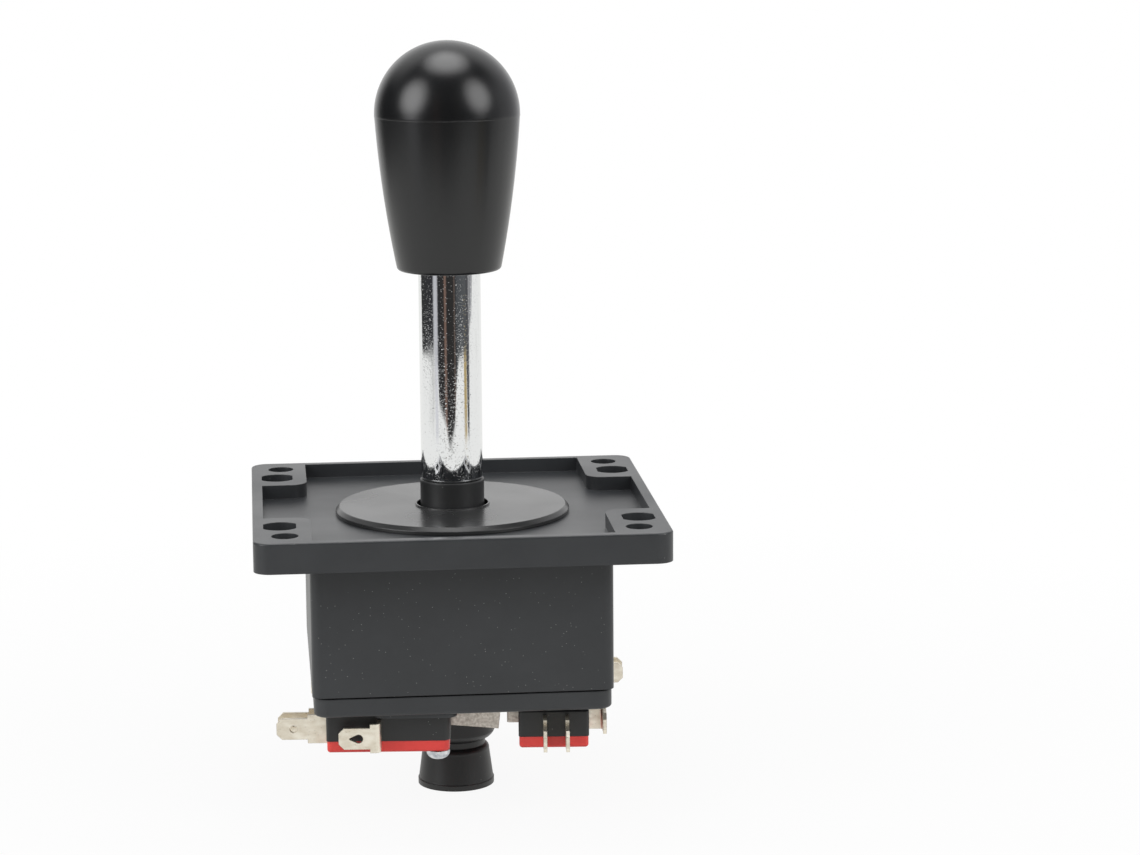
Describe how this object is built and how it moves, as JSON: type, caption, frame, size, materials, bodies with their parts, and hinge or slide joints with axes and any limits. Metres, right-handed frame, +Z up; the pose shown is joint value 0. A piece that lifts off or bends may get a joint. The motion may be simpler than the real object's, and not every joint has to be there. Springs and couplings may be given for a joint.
{
  "type": "arcade joystick",
  "caption": "Panel-mount arcade joystick with a bat grip, chromed sleeve, boxed housing and a pinwheel of lever micro switches round the actuator.",
  "frame": {"origin": "centre of the mounting plate's top face, on the stick's axis", "axes": "+Z up along the stick, +X along the plate's width, -Y towards the picture's viewer"},
  "size_m": [0.092, 0.09, 0.1729],
  "materials": {
    "charcoal_plastic": "fine matte moulding",
    "black_gloss": "satin gloss moulding",
    "chrome_sleeve": "bright plating",
    "black_plastic": "matte moulding",
    "white_nylon": "natural nylon",
    "red_plastic": "satin moulding",
    "bright_steel": "drawn",
    "zinc_steel": "zinc plated",
    "lever_steel": "spring steel strip",
    "nickel_brass": "nickel plated"
  },
  "bodies": {
    "housing": {"upper_housing": "charcoal_plastic", "base_plate": "charcoal_plastic", "pivot_retainer": "black_plastic", "base_screws": "zinc_steel", "switch_screws": "zinc_steel", "return_spring": "bright_steel", "switch_case_front": "black_plastic", "switch_cover_front": "red_plastic", "com_terminal_front": "nickel_brass", "nc_terminal_front": "nickel_brass", "no_terminal_front": "nickel_brass", "switch_case_right": "black_plastic", "switch_cover_right": "red_plastic", "com_terminal_right": "nickel_brass", "nc_terminal_right": "nickel_brass", "no_terminal_right": "nickel_brass", "switch_case_back": "black_plastic", "switch_cover_back": "red_plastic", "com_terminal_back": "nickel_brass", "nc_terminal_back": "nickel_brass", "no_terminal_back": "nickel_brass", "switch_case_left": "black_plastic", "switch_cover_left": "red_plastic", "com_terminal_left": "nickel_brass", "nc_terminal_left": "nickel_brass", "no_terminal_left": "nickel_brass"},
    "liner": {"pivot_liner": "white_nylon"},
    "stick": {"bat_handle": "black_gloss", "shaft": "bright_steel", "shaft_sleeve": "chrome_sleeve", "pivot_ball": "black_plastic", "spring_seat": "bright_steel", "actuator": "black_plastic", "actuator_washer": "bright_steel", "e_clip": "bright_steel"},
    "slip_ring": {"slip_ring": "white_nylon"},
    "dust_washer": {"dust_washer": "black_plastic"},
    "lever_front": {"switch_lever_front": "lever_steel"},
    "plunger_front": {"switch_plunger_front": "red_plastic"},
    "lever_right": {"switch_lever_right": "lever_steel"},
    "plunger_right": {"switch_plunger_right": "red_plastic"},
    "lever_back": {"switch_lever_back": "lever_steel"},
    "plunger_back": {"switch_plunger_back": "red_plastic"},
    "lever_left": {"switch_lever_left": "lever_steel"},
    "plunger_left": {"switch_plunger_left": "red_plastic"}
  },
  "joints": [
    {"name": "tilt_x", "type": "hinge", "parent": "housing", "child": "liner", "pos_m": [0, 0, -0.0365], "axis": [1, 0, 0], "range_deg": [-12, 12], "stiffness_Nm_per_rad": 1.2, "deforming": ["return_spring"]},
    {"name": "tilt_y", "type": "hinge", "parent": "liner", "child": "stick", "pos_m": [0, 0, -0.0365], "axis": [0, 1, 0], "range_deg": [-12, 12], "stiffness_Nm_per_rad": 1.2, "deforming": ["return_spring"]},
    {"name": "ring_slide_y", "type": "slide", "parent": "housing", "child": "slip_ring", "axis": [0, 1, 0], "range_m": [-0.0076, 0.0076]},
    {"name": "washer_slide_x", "type": "slide", "parent": "slip_ring", "child": "dust_washer", "axis": [1, 0, 0], "range_m": [-0.0076, 0.0076]},
    {"name": "lever_swing_front", "type": "hinge", "parent": "housing", "child": "lever_front", "pos_m": [-0.01626, -0.01446, -0.048], "axis": [0, 0, 1], "range_deg": [-3.2, 3.2]},
    {"name": "plunger_slide_front", "type": "slide", "parent": "housing", "child": "plunger_front", "axis": [0.0785, 0.9969, 0], "range_m": [-0.0004, 0.0004]},
    {"name": "lever_swing_right", "type": "hinge", "parent": "housing", "child": "lever_right", "pos_m": [0.01446, -0.01626, -0.048], "axis": [0, 0, 1], "range_deg": [-3.2, 3.2]},
    {"name": "plunger_slide_right", "type": "slide", "parent": "housing", "child": "plunger_right", "axis": [-0.9969, 0.0785, 0], "range_m": [-0.0004, 0.0004]},
    {"name": "lever_swing_back", "type": "hinge", "parent": "housing", "child": "lever_back", "pos_m": [0.01626, 0.01446, -0.048], "axis": [0, 0, 1], "range_deg": [-3.2, 3.2]},
    {"name": "plunger_slide_back", "type": "slide", "parent": "housing", "child": "plunger_back", "axis": [-0.0785, -0.9969, 0], "range_m": [-0.0004, 0.0004]},
    {"name": "lever_swing_left", "type": "hinge", "parent": "housing", "child": "lever_left", "pos_m": [-0.01446, 0.01626, -0.048], "axis": [0, 0, 1], "range_deg": [-3.2, 3.2]},
    {"name": "plunger_slide_left", "type": "slide", "parent": "housing", "child": "plunger_left", "axis": [0.9969, -0.0785, 0], "range_m": [-0.0004, 0.0004]}
  ],
  "couplings": [
    {"joint": "ring_slide_y", "follows": "tilt_x", "m_per_rad": -0.0348},
    {"joint": "washer_slide_x", "follows": "tilt_y", "m_per_rad": 0.0351},
    {"joint": "lever_swing_front", "follows": "tilt_x", "ratio": 0.25},
    {"joint": "plunger_slide_front", "follows": "tilt_x", "m_per_rad": 0.0017189},
    {"joint": "lever_swing_right", "follows": "tilt_y", "ratio": 0.25},
    {"joint": "plunger_slide_right", "follows": "tilt_y", "m_per_rad": 0.0017189},
    {"joint": "lever_swing_back", "follows": "tilt_x", "ratio": -0.25},
    {"joint": "plunger_slide_back", "follows": "tilt_x", "m_per_rad": -0.0017189},
    {"joint": "lever_swing_left", "follows": "tilt_y", "ratio": -0.25},
    {"joint": "plunger_slide_left", "follows": "tilt_y", "m_per_rad": -0.0017189}
  ]
}
